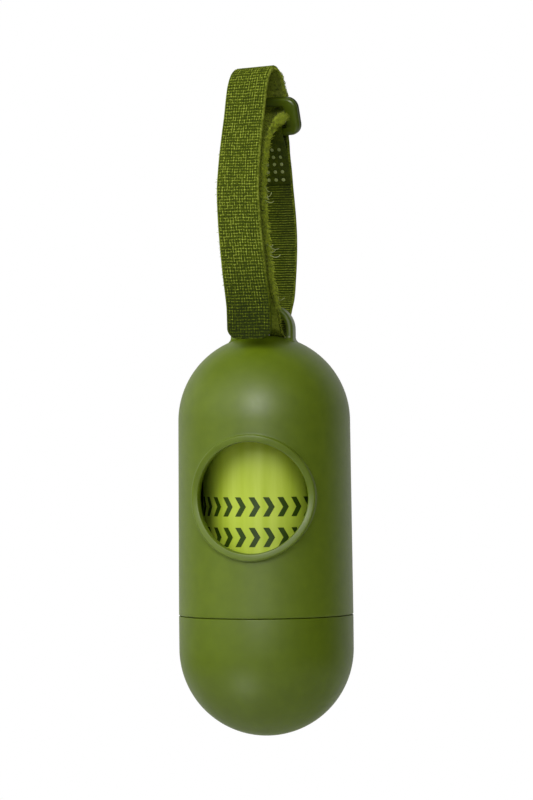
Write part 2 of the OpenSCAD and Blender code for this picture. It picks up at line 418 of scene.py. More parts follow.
def woven_fabric(name, dark, middle, light):
    """Cloth with painted highlights as bright dashes on its weft rows and ticks on its warp columns, and
    painted shade between them, by the mesh's own numbers.
    """
    material, tree, surface = new_material(name)
    # The first attribute is the strap's own tone with its painted shade
    tone_and_painted_shade, rows, columns, woven, ticked = (node(tree, "Attribute", {"attribute_name": key}).outputs["Fac"]
                                          for key in ("tone_and_painted_shade", "rows", "columns", "woven", "ticked"))
    from_row, row_line = on_line(tree, rows)
    from_column, column_line = on_line(tree, columns)
    row_number = calc(tree, "ROUND", rows)
    along_row = node(tree, "CombineXYZ", X=calc(tree, "MULTIPLY", row_number, ROW_STRIDE),
                     Y=calc(tree, "MULTIPLY", columns, DASHES_PER_COLUMN)).outputs[0]
    dash = node(tree, "TexNoise", Vector=along_row, Scale=1.0, Detail=0.0).outputs["Fac"]
    cell = node(tree, "CombineXYZ", X=calc(tree, "FLOOR", rows),
                Y=calc(tree, "ROUND", columns)).outputs[0]
    chance = node(tree, "TexWhiteNoise", {"noise_dimensions": "2D"}, Vector=cell).outputs["Value"]
    unbroken = calc(tree, "MULTIPLY_ADD", ticked, CLOTH_DASH_CUT, RIB_DASH)
    dash = calc(tree, "MAXIMUM", ease(tree, dash, *DASH_LEVELS), unbroken)
    # Painted highlights: bright dashes on the rows and ticks on the columns
    dash = calc(tree, "MULTIPLY", calc(tree, "MULTIPLY", row_line, dash), DASH_HIGHLIGHT)
    tick = calc(tree, "MULTIPLY", column_line, ease(tree, chance, *TICK_LEVELS))
    tick = calc(tree, "MULTIPLY", tick, TICK_HIGHLIGHT)
    # Painted shade in the gaps between columns and between rows
    tick = calc(tree, "MULTIPLY_ADD", from_column, COLUMN_GAP_SHADE, tick)
    pattern = calc(tree, "MULTIPLY_ADD", from_row, ROW_GAP_SHADE, dash)
    pattern = calc(tree, "MULTIPLY_ADD", tick, ticked, pattern)
    grain = calc(tree, "MULTIPLY_ADD", noise_node(tree, scale=3.5), GRAIN, -GRAIN / 2)
    patchy = calc(tree, "MULTIPLY_ADD", noise_node(tree, scale=0.5), PATCHES, -PATCHES / 2)
    shade = calc(tree, "MULTIPLY_ADD", pattern, woven, calc(tree, "ADD", tone_and_painted_shade, grain))
    shade = calc(tree, "ADD", shade, patchy)
    dress(tree, surface, {
        "Base Color": ramp(tree, shade, (0.1, dark), (0.45, middle), (0.9, light)),
        "Normal": bump(tree, noise_node(tree, scale=9.0), strength=0.4, distance=0.06),
        "Roughness": between(tree, noise_node(tree, scale=4.0), low=0.7, high=0.9),
        "Specular IOR Level": 0.12,
        "Sheen Weight": 0.05,
        "Sheen Roughness": 0.5,
        "Sheen Tint": linear(170, 190, 90),
    })
    return material


def print_marks(tree):
    """1 on rows of plain chevrons round the roll, and 0 beside them."""
    place = node(tree, "SeparateXYZ", Vector=object_place(tree, 1.0)).outputs
    front = calc(tree, "MULTIPLY", place["Y"], -1.0)
    along = calc(tree, "MULTIPLY", calc(tree, "ARCTAN2", place["X"], front), LEAD_R)
    marks = 0.0
    for height in PRINT_ROWS:
        rise = calc(tree, "ABSOLUTE", calc(tree, "SUBTRACT", place["Z"], height + BASE))
        slant = calc(tree, "MULTIPLY_ADD", rise, PRINT_SLANT, along)
        share = calc(tree, "FRACT", calc(tree, "DIVIDE", slant, PRINT_PITCH))
        stroke = calc(tree, "LESS_THAN", share, PRINT_STROKE)
        row = calc(tree, "LESS_THAN", rise, PRINT_H / 2)
        marks = calc(tree, "MAXIMUM", marks, calc(tree, "MULTIPLY", stroke, row))
    return marks


def bag_film(name, printed):
    """Thin film with soft upright creases, and on the first bag two rows of plain chevrons."""
    material, tree, surface = new_material(name)
    crease = noise_node(tree, scale=(0.5, 0.5, 0.03), detail=4.0)
    film = ramp(tree, crease, (0.25, (196, 220, 54)), (0.75, (216, 237, 86)))
    if printed:
        film = node(tree, "Mix", {"data_type": "RGBA"}, Factor=print_marks(tree), in6=film,
                    in7=linear(*PRINT_COLOUR)).outputs[2]
    dress(tree, surface, {
        "Base Color": film,
        "Roughness": between(tree, crease, low=0.3, high=0.45),
        "Normal": bump(tree, crease, strength=0.15, distance=0.3),
        "Specular IOR Level": 0.4,
    })
    return material


def core_card(name):
    material, tree, surface = new_material(name)
    fibre = noise_node(tree, scale=(2.0, 2.0, 0.4), detail=6.0)
    dress(tree, surface, {
        "Base Color": two_tone(tree, fibre, (165, 135, 92), (194, 166, 120)),
        "Roughness": between(tree, fibre, low=0.8, high=0.95),
        "Normal": bump(tree, fibre, strength=0.3, distance=0.1),
    })
    return material


PLASTIC = capsule_plastic("capsule_plastic", (99, 120, 0), (106, 127, 4), gloss=0.5)
CAP_PLASTIC = capsule_plastic("cap_plastic", (95, 115, 0), (101, 122, 2), gloss=0.38)
WEAVE = woven_fabric("strap_weave", (40, 52, 0), (89, 103, 0), (170, 184, 68))
FIBRE = plain_plastic("strap_fibre", (136, 156, 2), (222, 236, 64), roughness=(0.6, 0.8), grain=1.5)
STRAY = plain_plastic("stray_fibre", (186, 196, 116), (206, 214, 150), roughness=(0.5, 0.7))
WELD = plain_plastic("weld_dots", (150, 164, 84), (176, 188, 112), roughness=(0.3, 0.45))
HOOKS = plain_plastic("hook_tape", (98, 116, 12), (124, 142, 30), roughness=(0.4, 0.6))
GLOSS = plain_plastic("buckle_gloss", (74, 90, 0), (84, 101, 4), roughness=(0.3, 0.4))
FILM = bag_film("bag_film", printed=False)
PRINTED = bag_film("bag_film_printed", printed=True)
CARD = core_card("core_card")


def finished(piece, material, body, slot, *nodes):
    """Gives a piece its material and body, and hides the nodes that it stands for. Its slot is not used."""
    piece.data.materials.append(material)
    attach(piece, body)
    if nodes:
        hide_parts(*nodes)


# Shell: a square patch round the window, laid on the tube, and turned patches for the rest

SIDE_STEPS = 32
SKIN_STEPS = 8
PATCH_HALF = DOME_Z - WINDOW_Z
PATCH_SIDE = math.radians(57)
PATCH_LOW = WINDOW_Z - PATCH_HALF
MOUTH_BAND = 1
side = np.tan(np.linspace(-math.pi / 4, math.pi / 4, SIDE_STEPS + 1))
patch_front = PATCH_SIDE * side
patch_back = np.linspace(PATCH_SIDE, FULL_TURN - PATCH_SIDE, 2 * SIDE_STEPS + 1)
around_shell = np.concatenate([patch_front, patch_back[1:]])


def tube_radius(z):
    return SEAM_R - math.tan(DRAFT) * (z - SEAM_H)


def on_tube(theta, z, lift):
    r = tube_radius(z) + lift
    return np.stack(np.broadcast_arrays(r * np.sin(theta), -r * np.cos(theta), z), -1)


def rim_profile():
    """Distance from the window's middle and lift off the tube, over the rim and through the wall."""
    outer, inner = WINDOW_R + RIM_W, WINDOW_R + RIM_INNER_EDGE
    slope = math.radians(RIM_SLOPE)
    rim = arc((outer + RIM_FILLET, RIM_FILLET), RIM_FILLET, 270, 180, 5)
    rim += arc((outer - RIM_EDGE, RIM_H - RIM_EDGE), RIM_EDGE, 0, 90 + RIM_SLOPE, 9)
    start = WINDOW_R + RIM_INNER_EDGE * (1 - math.sin(slope))
    inner_h = rim[-1][1] - (rim[-1][0] - start) * math.tan(slope) - RIM_INNER_EDGE * math.cos(slope)
    rim += arc((inner, inner_h), RIM_INNER_EDGE, 90 + RIM_SLOPE, 180, 5)
    rim += line((WINDOW_R, inner_h), (WINDOW_R, RIM_INNER_EDGE - WALL), 6)[1:-1]
    return rim + arc((inner, RIM_INNER_EDGE - WALL), RIM_INNER_EDGE, 180, 270, 4)


def window_patch():
    """Rings of points from the patch's outer edge, over the rim, to its edge inside the wall."""
    phi = np.linspace(0, FULL_TURN, 4 * SIDE_STEPS + 1)
    c, s = np.cos(phi), np.sin(phi)
    reach = np.maximum(np.abs(c), np.abs(s))
    edge = PATCH_SIDE * c / reach, WINDOW_Z + PATCH_HALF * s / reach

    def ring(rho, lift):
        """Circle on the rim, which tilts outwards at the window's sides."""
        x, z = rho * c, WINDOW_Z + rho * s
        tilt = mix(-RIM_SIDE_DROP, RIM_SIDE_RISE, (rho - WINDOW_R) / RIM_W)
        r = tube_radius(z) + lift + tilt * c * c * np.clip(lift / RIM_TILT_H, 0, 1)
        return np.stack([x, -np.sqrt(r * r - x * x), z], -1)

    def skin(rho, lift):
        """Rows from the patch's square edge to a circle round the window."""
        z = WINDOW_Z + rho * s
        theta = np.arcsin(rho * c / (tube_radius(z) + lift))
        return [on_tube(mix(edge[0], theta, t), mix(edge[1], z, t), lift)
                for t in np.linspace(0, 1, SKIN_STEPS)]

    rows = skin(WINDOW_R + RIM_W + RIM_FILLET, 0)[:-1]
    rows += [ring(rho, lift) for rho, lift in rim_profile()]
    rows += skin(WINDOW_R + RIM_INNER_EDGE, -WALL)[::-1][1:]
    return np.array(rows)


def mouth_profile():
    """From the inner face below the window, round the open end, to the outer face."""
    step_z = SEAM_H + NECK_H + NECK_PLAY
    step_r = tube_radius(step_z) - WALL
    profile = [(tube_radius(PATCH_LOW) - WALL, PATCH_LOW), (step_r, step_z + SEAM_ROUND)]
    profile += [(step_r + SEAM_ROUND, step_z), (REBATE_R, step_z)]
    profile += arc((REBATE_R + SEAM_ROUND, SEAM_H + SEAM_ROUND), SEAM_ROUND, 180, 270, 4)
    profile += arc((SEAM_R - SEAM_ROUND, SEAM_H + SEAM_ROUND), SEAM_ROUND, 270, 360, 5)
    return profile + [(tube_radius(z), z) for z in np.linspace(SEAM_H + MOUTH_BAND, PATCH_LOW, 6)]


def eye_patch():
    """Bar of the strap eye, bent over the crown, with feet that flare into the dome."""
    top, foot = EYE_Z - EYE_BEND, DOME_Z + math.sqrt((DOME_R - EYE_SINK) ** 2 - EYE_LEG ** 2)
    half = line((EYE_LEG, foot), (EYE_LEG, top), 14)[:-1]
    half += arc((EYE_LEG - EYE_BEND, top), EYE_BEND, 0, 90, 16)
    route = np.array(half + [(-x, z) for x, z in half[::-1]])
    along = np.gradient(route, axis=0)
    along /= np.linalg.norm(along, axis=1, keepdims=True)
    out = np.stack([along[:, 1], -along[:, 0]], 1)
    section = rounded_section(EYE_T, EYE_DEPTH, EYE_EDGE, 6)
    x = route[:, :1] + out[:, :1] * section[:, 0]
    z = route[:, 1:] + out[:, 1:] * section[:, 0]
    y = np.broadcast_to(section[:, 1], x.shape)
    gap = z - DOME_Z - np.sqrt(DOME_R ** 2 - x * x - y * y)
    spread = EYE_FLARE * (1 - np.sqrt(1 - np.clip(1 - gap / EYE_FLARE, 0, 1) ** 2))
    away = section / np.linalg.norm(section, axis=1, keepdims=True)
    return np.stack([x + out[:, :1] * away[:, 0] * spread, y + away[:, 1] * spread, z], -1)


def build_shell():
    rows = WINDOW_Z + PATCH_HALF * side[:, None]
    outer_dome = arc((0, DOME_Z), DOME_R, 0, 90, 40)
    inner_dome = arc((0, DOME_Z), DOME_R - WALL, 0, 90, 30)
    patches = [window_patch(), on_tube(patch_back, rows, 0), on_tube(patch_back, rows, -WALL),
               lathe(mouth_profile(), around_shell), lathe(outer_dome, around_shell),
               lathe(inner_dome, around_shell), eye_patch()]
    shell = mesh_object("capsule_shell", patches, close=True)
    finished(shell, PLASTIC, "shell", "capsule_plastic", "body_shell")


def build_cap():
    shoulder, top, neck_r = SEAM_H - SEAM_GAP, SEAM_H + NECK_H, BEAD_R - BEAD_H
    profile = arc((0, SEAM_R), SEAM_R, -90, 0, 44)
    profile += arc((SEAM_R - SEAM_ROUND, shoulder - SEAM_ROUND), SEAM_ROUND, 0, 90, 5)
    profile += [(neck_r, shoulder)]
    for share in BEAD_PLACES:
        middle = (BEAD_R - BEAD_ROUND, SEAM_H + share * NECK_H)
        profile += arc(middle, BEAD_ROUND, -BEAD_HALF_ARC, BEAD_HALF_ARC, 7)
    profile += [(neck_r, top - NECK_LEAD_IN), (neck_r - NECK_LEAD_IN, top), (SEAM_R - WALL, top)]
    profile += arc((0, SEAM_R), SEAM_R - WALL, 0, -90, 30)
    patch = lathe(profile, np.linspace(0, FULL_TURN, 129))
    finished(mesh_object("domed_cap", [patch]), CAP_PLASTIC, "cap", "capsule_plastic", "end_cap")


# Bags

def build_roll():
    """Wound bags, with the edges of their film as a spiral on both ends."""
    turn = np.linspace(0, FULL_TURN, 145)
    radii = np.linspace(CORE_R + SEAT, ROLL_R, 56)[:, None]
    layer = np.abs((radii / LAYER_PITCH - turn / FULL_TURN) % 1 - 0.5) * 2
    sunk = LAYER_SINK * layer * smoothstep((ROLL_R - radii) / LAYER_OUTER_FADE)
    sunk = sunk * smoothstep((radii - CORE_R) / LAYER_INNER_FADE)
    heights = np.linspace(0, ROLL_L, 42)[:, None]
    dent = DENT * noise(turn * DENTS_AROUND / FULL_TURN, heights / DENT_L, DENT_SEED, DENTS_AROUND)
    dent = dent * smoothstep(heights / DENT_FADE) * smoothstep((ROLL_L - heights) / DENT_FADE)
    r = np.concatenate([radii + 0 * turn, ROLL_R - dent[1:], radii[::-1][1:] + 0 * turn])
    z = np.concatenate([sunk, heights[1:] + 0 * turn, (ROLL_L - sunk)[::-1][1:]]) + ROLL_Z
    patch = np.stack([r * np.sin(turn), -r * np.cos(turn), z], -1)
    patch = np.concatenate([patch, patch[:1]])
    finished(mesh_object("wound_bags", [patch]), FILM, "roll", "bag_film", "bag_roll")


def build_core():
    inner, outer = CORE_R - CORE_WALL + CORE_EDGE, CORE_R - CORE_EDGE
    low, high = ROLL_Z + CORE_EDGE, ROLL_Z + ROLL_L - CORE_EDGE
    profile = []
    for k, centre in enumerate([(inner, low), (outer, low), (outer, high), (inner, high)]):
        profile += arc(centre, CORE_EDGE, 180 + 90 * k, 270 + 90 * k, 3)
    patch = lathe(profile + profile[:1], np.linspace(0, FULL_TURN, 97))
    finished(mesh_object("card_core", [patch]), CARD, "roll", "core_card", "bag_core")


def build_first_bag():
    """Film of the first bag round the roll, with its perforated edge lifted off."""
    wrap = LIP_WRAP * LEAD_R
    places = np.concatenate([np.linspace(-LIP_L, 0, 13), np.linspace(0, wrap, 230)[1:]])
    heights = np.linspace(0, ROLL_L, 201)[:, None]
    tooth = TOOTH_L * np.abs((heights / TOOTH_PITCH) % 1 - 0.5) * 2
    s = np.where(places < 0, places * (1 - tooth / LIP_L), places)
    crease = sum(depth * (noise(s / width, heights / length, seed) - 0.5)
                 for depth, width, length, seed in CREASES) * smoothstep(s / CREASE_FADE)

    def face(radius):
        r = radius + crease
        angle = LIP_TURN - np.maximum(s, 0) / LEAD_R
        lip = np.maximum(-s, 0)
        x = r * np.cos(angle) - lip * np.sin(angle)
        y = r * np.sin(angle) + lip * np.cos(angle)
        return np.stack(np.broadcast_arrays(x, y, heights + ROLL_Z), -1)

    outer, inner = face(LEAD_R), face(LEAD_R - FILM_T)
    rim = [np.stack([outer[k], inner[k]]) for k in (0, -1)]
    rim += [np.stack([outer[:, k], inner[:, k]]) for k in (0, -1)]
    finished(mesh_object("first_bag", [outer, inner, *rim]), PRINTED, "roll", "bag_film", "lead_bag")


# Strap: one route from the welded hem, through the eye and the buckle, to the tail's end

def loop_point(depth, share):
    return np.array([depth, EYE_Z + share * LOOP_H])


def near_eye(depth, height):
    return np.array([0, EYE_Z]) + EYE_WRAP * np.array([depth, height])


def near_bar(depth, height):
    return BAR_POINT + BAR_PITCH * np.array([depth, height])


def aside(points, first, last):
    """Points with a sideways lie that goes evenly from one value to another."""
    return np.column_stack([np.array(points), np.linspace(first, last, len(points))])


def strap_route():
    """Depth, height and sideways lie of the places that the strap runs through, from the hem's free edge."""
    hem = [loop_point(depth * LOOP_BACK - STRAP_T - PLAY, share)
           for depth, share in ((0.52, 0.7), (0.44, 0.77), (0.33, 0.86))]
    hem += [near_bar(-0.06, -0.43)] + [BAR_POINT + p for p in np.array(arc((0, 0), BAR_WRAP, 210, -30, 9))]
    back = [near_bar(0.28, -0.43)]
    back += [loop_point(depth * LOOP_BACK, share)
             for depth, share in ((0.33, 0.86), (0.44, 0.77), (0.54, 0.68), (0.67, 0.59), (0.80, 0.5),
                                  (0.92, 0.4), (0.99, 0.285), (1, 0.17), (0.97, 0.065))]
    back += [near_eye(1.38, -0.04), near_eye(0.98, -0.45)]
    grip = [loop_point(depth * LOOP_FRONT, share)
            for depth, share in ((-0.965, 0.19), (-1, 0.35), (-0.99, 0.5), (-0.93, 0.655), (-0.79, 0.79))]
    front = [np.array(p) for p in arc((0, EYE_Z), EYE_WRAP, -50, -130, 5)]
    front += [near_eye(-0.98, -0.45), near_eye(-1.42, 0), near_eye(-1.77, 0.57)] + grip
    rise = [[*near_bar(depth, height), share * RISE_LIE]
            for depth, height, share in ((-1.17, -0.58, 0.05), (-0.93, -0.19, 0.25), (-0.64, 0.13, 0.55),
                                         (-0.32, 0.36, 0.85), (0, 0.52, 1), (0.2, 0.74, 0.95),
                                         (0.17, 1.06, 0.7), (0.08, 1.42, 0.4), (-0.1, 1.78, 0.2),
                                         (-0.42, 2.04, 0.05), (-0.77, 1.88, 0), (-1, 1.52, 0))]
    tail = [near_bar(depth, height)
            for depth, height in ((-1.13, 1.1), (-1.26, 0.49), (-1.4, -0.03), (-1.61, -0.64))]
    tail += [p - [STACK, 0] for p in grip[::-1]]
    tail += [near_eye(-2.43, 0.57), near_eye(-2.28, -0.42), near_eye(-2.17, -1.34)]
    return np.vstack([aside(hem, HEM_LIE, HEM_LIE), aside(back, HEM_LIE, 0), aside(front, 0, 0),
                      np.array(rise), aside(tail, 0, TAIL_LIE)])


def even_curve(control, step):
    """Even points along a smooth curve through control points, and their distance along it."""
    c = np.vstack([control[:1], control, control[-1:]])
    t = np.linspace(0, 1, 16, endpoint=False)[:, None]
    parts = [0.5 * (2 * q + (r - p) * t + (2 * p - 5 * q + 4 * r - s) * t ** 2
                    + (3 * q - p - 3 * r + s) * t ** 3) for p, q, r, s in zip(c, c[1:], c[2:], c[3:])]
    fine = np.vstack(parts + [control[-1:]])
    length = np.concatenate([[0], np.cumsum(np.linalg.norm(np.diff(fine[:, :2], axis=0), axis=1))])
    even = np.linspace(0, length[-1], round(length[-1] / step) + 1)
    return np.stack([np.interp(even, length, column) for column in fine.T], 1), even


STRAP_STEP = 0.125
curve, RUN = even_curve(strap_route(), STRAP_STEP)
ROUTE, LIE = curve[:, :2], curve[:, 2]
heading = np.gradient(ROUTE, axis=0)
heading /= np.linalg.norm(heading, axis=1, keepdims=True)
PILE_SIDE = np.stack([-heading[:, 1], heading[:, 0]], 1)

# The fold's top lies a little askew, and the tail starts on the front of the fold
FOLD_SKEW = math.tan(math.radians(2.5))
FOLD_FROM = EYE_Z + LOOP_H + 6
FOLD_TO = EYE_Z + LOOP_H + 14
TAIL_FROM_Z = EYE_Z + LOOP_H + 10
TOP = int(np.argmax(ROUTE[:, 1]))
EYE_STATION = int(np.argmin(ROUTE[:TOP, 1]))
TAIL_FROM = TOP + int(np.argmax(ROUTE[TOP:, 1] < TAIL_FROM_Z))

# Under the eye the strap bends across its width to follow the dome
UNDER_TOP = EYE_Z - 1
UNDER_FADE_H = 3
UNDER_HALF = EYE_WRAP + 1
UNDER_FADE_W = 2
UNDER_SINK = 0.15


def in_strap(across, place):
    """Points in the part's frame from places across the strap and in its upright plane."""
    depth, height = place[..., 0], place[..., 1]
    turn = mix(TURN_AT_EYE, TURN_AT_BAR, np.clip((height - EYE_Z) / LOOP_H, 0, 1))
    lift = FOLD_SKEW * across * smoothstep((height - FOLD_FROM) / (FOLD_TO - FOLD_FROM))
    under = smoothstep((UNDER_TOP - height) / UNDER_FADE_H)
    under = under * smoothstep((UNDER_HALF - np.abs(depth)) / UNDER_FADE_W)
    lift = lift - under * (across ** 2 / (2 * DOME_R) + PLAY + UNDER_SINK)
    return np.stack([across * np.cos(turn) + depth * np.sin(turn),
                     depth * np.cos(turn) - across * np.sin(turn), height + lift], -1)


def off_strap(stations, across, up, along=0.0):
    """Points across the strap, up on its pile side and along it, from stations on its route."""
    up, along = np.asarray(up)[..., None], np.asarray(along)[..., None]
    place = ROUTE[stations] + up * PILE_SIDE[stations] + along * heading[stations]
    return in_strap(across + LIE[stations], place)


# Weave, with the yarns' wander by size, reach and seed
WARP = 0.62
WEFT = 0.7
RIB = 0.58
WARP_H = 0.9
YARN_RELIEF = 0.14
EDGE_RELIEF = 0.35
RELIEF_FADE = 0.9
WANDER = ((0.3, 3, 0), (0.2, 0.8, 5))
ROW_SEED = 11
COLUMN_SEED = 12


def wander(run, across, seed):
    return sum(size * (noise(run / reach, across / reach, seed + more) - 0.5) for size, reach, more in WANDER)


def weave(run, across):
    """Places along the strap in weft rows and across it in warp columns, both a little uneven."""
    eye = RUN[EYE_STATION]
    rows = np.where(run < eye, run / RIB, eye / RIB + (run - eye) / WEFT)
    return rows + wander(run, across, ROW_SEED), across / WARP + wander(run, across, COLUMN_SEED)


def yarn_height(place):
    """1 on the middle of each thread and 0 between them."""
    return np.cos(math.pi * (place - np.round(place))) ** 2


# Edges, hem and pile
EDGE_ROUND = 0.5
EDGE_SHARE = 0.85
TIP_SQUARE = 0.001
HEM_L = 12.0
HEM_TAPER = 3.0
HEM_EDGE_T = 0.3
HEM_FADE = 2
PILE_RELIEF = 0.25
PILE_CELL = 0.45
PILE_SHIFT = 40
PILE_SEED = 21
FUZZ_L = 0.3
FUZZ_H = 0.2
FUZZ_SHIFT = 9
FUZZ_SEED = 22

# Shades and contrast, each from its low end to its high end. The light factors of the ribs and the tail are
# painted shade: the ribs get darker towards the hem under the buckle, and the tail gets darker towards its
# lower end, where it bends in away from the light from above.
RIB_SHADE_FADE = 32.0
TAIL_SHADE_FADE = 24.0
TAIL_SHADE_FADE_FROM = 9
RIB_PAINTED_SHADE = (0.7, 1)
TAIL_PAINTED_SHADE = (0.4, 1)
RIB_CONTRAST = (0.2, 1.3)
CLOTH_CONTRAST = (0.6, 1)
RIB_SHADE = 0.31
CLOTH_SHADE = 0.39
FUZZ_SHADE = (0.45, 0.85)
PILE_SHADE = (0.5, 0.8)
HEM_FUZZ_DIM = 0.5
HEM_PILE_DIM = 0.6


def half_width(first, last, tail_end):
    """Half width of the strap at each station, with the tail's end rounded."""
    half = np.full(last - first, STRAP_W / 2)
    if tail_end:
        short = TAIL_CORNER - np.minimum(TAIL_CORNER, RUN[last - 1] - RUN[first:last])
        half += np.sqrt(np.maximum(TIP_SQUARE, TAIL_CORNER ** 2 - short ** 2)) - TAIL_CORNER
    return half[:, None]


def closed(columns):
    """Columns with the first one again at the end."""
    return np.concatenate([columns, columns[:, :1]], 1)


def band(name, first, last, tail_end=False):
    """Strap between two stations, woven on one side and piled on the other."""
    stations = np.arange(first, last)[:, None]
    half = half_width(first, last, tail_end)
    flat = half - EDGE_ROUND
    woven = np.linspace(-1, 1, round(STRAP_W / STRAP_STEP) + 1)
    piled = np.linspace(1, -1, 25)
    corner = np.radians(np.linspace(-90, 90, 6)[1:-1])
    right = half - EDGE_ROUND * (1 - np.cos(corner))
    edge = np.broadcast_to(STRAP_T / 2 * np.sin(corner) * EDGE_SHARE, right.shape)
    across = np.hstack([flat * woven, right, flat * piled, -right])

    run, height = RUN[stations], ROUTE[stations, 1] - EYE_Z
    ribbed = run < RUN[EYE_STATION]
    # Painted shade: the ribs get darker towards the hem and the tail towards its lower end, and the weave's
    # contrast drops with it
    from_hem = smoothstep((run - HEM_L) / RIB_SHADE_FADE)
    on_hem = 1 - smoothstep((run - HEM_L) / HEM_FADE)
    up_tail = smoothstep((height + TAIL_SHADE_FADE_FROM) / TAIL_SHADE_FADE)
    light = np.where(ribbed, mix(*RIB_PAINTED_SHADE, from_hem), mix(*TAIL_PAINTED_SHADE, up_tail))
    contrast = np.where(ribbed, mix(*RIB_CONTRAST, from_hem), mix(*CLOTH_CONTRAST, light))

    rows, columns = weave(run + 0 * across, across)
    cloth = np.maximum(yarn_height(rows), np.where(ribbed, 0, WARP_H * yarn_height(columns)))
    cloth = cloth[:, :len(woven)]
    inside = smoothstep((half - np.abs(flat * woven)) / RELIEF_FADE)
    under = -STRAP_T / 2 + YARN_RELIEF * (1 - cloth) * mix(EDGE_RELIEF, 1, inside)
    pile = noise(run / PILE_CELL, flat * piled / PILE_CELL + PILE_SHIFT, PILE_SEED)
    over = STRAP_T / 2 - PILE_RELIEF * pile
    over = over - (STRAP_T - HEM_EDGE_T) * (1 - smoothstep(run / HEM_TAPER))
    points = off_strap(stations, across, np.hstack([under, edge, over, edge[:, ::-1]]))

    # The edge fuzz, ground and pile tones below carry the painted shade as well as their own tone
    fuzz = noise(run / FUZZ_L + 0 * right, edge / FUZZ_H + FUZZ_SHIFT, FUZZ_SEED)
    fuzz = mix(*FUZZ_SHADE, fuzz) * light * (1 - HEM_FUZZ_DIM * on_hem)
    ground = np.where(ribbed, RIB_SHADE, CLOTH_SHADE) * light + 0 * cloth
    tone_and_painted_shade = np.hstack([ground, fuzz, mix(*PILE_SHADE, pile) * (1 - HEM_PILE_DIM * on_hem), fuzz])
    flags = np.hstack([np.ones_like(cloth), np.zeros_like(across[:, len(woven):])]) * contrast
    values = {"tone_and_painted_shade": tone_and_painted_shade, "rows": rows, "columns": columns, "woven": flags, "ticked": flags * ~ribbed}
    values = {key: closed(numbers) for key, numbers in values.items()}
    made = mesh_object(name, [closed(points)], values, close=True)
    made.data.materials.append(WEAVE)
    return made


def build_strap():
    strap = band("strap_band", 0, TAIL_FROM + 1)
    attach(strap, "strap")
    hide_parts("strap_webbing")
    tail = band("strap_end", TAIL_FROM, len(RUN), tail_end=True)
    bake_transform(tail)
    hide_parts("strap_tail")


# Hook tape inside the tail
HOOK_FROM = EYE_Z + 0.6 * EYE_WRAP
HOOK_TO = EYE_Z + 0.79 * LOOP_H
HOOK_MARGIN = 0.4
HOOK_PITCH = 1.15
HOOK_STAGGER = 0.3
HOOK_LEFT = 0.6
HOOK_RIGHT = 0.4
HOOK_BEND = 0.24
HOOK_TIP = 0.35
HOOK_R = 0.11
TAPE_T = 0.45
TAPE_EDGE = 0.18
TAPE_STEP = 4


def build_hooks():
    """Tape on the tail's inner face, and rows of hooks that lean one way and the other."""
    stations = [i for i in range(TAIL_FROM, len(RUN)) if HOOK_FROM < ROUTE[i, 1] < HOOK_TO]
    first, last = stations[0], stations[-1]
    inner = STRAP_T / 2 + SEAT
    width = STRAP_W / 2 - HOOK_MARGIN
    section = rounded_section(2 * width, TAPE_T, TAPE_EDGE, 3) + [0, inner + TAPE_T / 2]
    rows = np.arange(first, last, TAPE_STEP)[:, None]
    tape = mesh_object("hook_backing", [off_strap(rows, section[:, 0], section[:, 1])], close=True)
    finished(tape, HOOKS, "tail", "hook_plastic", "hook_tape")

    stem = HOOK_T - TAPE_T - HOOK_TIP
    curl = np.array([(0, -stem)] + arc((-HOOK_BEND, 0), HOOK_BEND, -10, 200, 6))
    up = inner + TAPE_T + stem + curl[:, 1]
    paths = []
    for k, i in enumerate(range(first + TAPE_STEP, last - TAPE_STEP, round(HOOK_PITCH / STRAP_STEP))):
        odd = k % 2
        along = curl[:, 0] if odd else -curl[:, 0]
        for across in np.arange(-width + HOOK_LEFT, width - HOOK_RIGHT, HOOK_PITCH):
            paths.append(off_strap(i, across + HOOK_STAGGER * odd, up, along))
    finished(tubes("hooks", np.array(paths), HOOK_R, sides=5), HOOKS, "tail", "hook_plastic")


# Weld dots on the hem
WELDS = 5
WELD_PITCH = 1.8
WELD_FROM = 1.2
WELD_R = 0.42
WELD_FLATNESS = 0.4
WELD_SINK = 0.12


def build_welds():
    """Square of flat dots that hold the hem to the strap behind it."""
    dome = np.array(arc((0, 0), WELD_R, 90, 0, 5)) * [1, WELD_FLATNESS]
    r, h = dome[:, :1], dome[:, 1:]
    turn = np.linspace(0, FULL_TURN, 17)
    up = STRAP_T / 2 - WELD_SINK + h + 0 * turn
    patches = []
    for row in range(WELDS):
        station = int(np.argmax(RUN > WELD_FROM + row * WELD_PITCH))
        for column in range(WELDS):
            across = (column - WELDS // 2) * WELD_PITCH + r * np.cos(turn)
            patches.append(off_strap(station, across, up, r * np.sin(turn)))
    finished(mesh_object("hem_welds", patches, close=True), WELD, "strap", "strap_fabric")


def loose_fibres(name, material, stations, sideways, rise, along, radii):
    """Thin fibres from stations of the strap. Rows of sideways, rise and along are their points."""
    paths = off_strap(stations, sideways, rise, along).transpose(1, 0, 2)
    finished(tubes(name, paths, radii), material, "strap", "strap_fabric")


NUMBER = np.arange(len(RUN))
CURL_TURN = 6.3

# Pile: short loops that stand off the strap or stick out past its edges
PILE_COUNT = 9000
PILE_ON_RISE = 2000
PILE_RISE_FROM = EYE_Z + 0.8 * LOOP_H
PILE_RISE_END = TOP - 60
PILE_END = TAIL_FROM - 40
PILE_EDGE_SHARE = 0.55
PILE_EDGE = 0.95
PILE_LONG = (0.25, 0.65)
PILE_SHORT = (0.12, 0.25)
PILE_ROOT = 0.15
PILE_LEAN = 0.6
PILE_DROOP = 0.55
PILE_PAST = 0.9
PILE_OUT = 0.9
PILE_OUT_FLAT = 0.75
PILE_OUT_SINK = 0.5
PILE_WAVE = 0.4
PILE_RATE = 4
PILE_PHASE = 9
PILE_R = 0.03 * np.array([1, 1, 0.9, 0.7, 0.3])


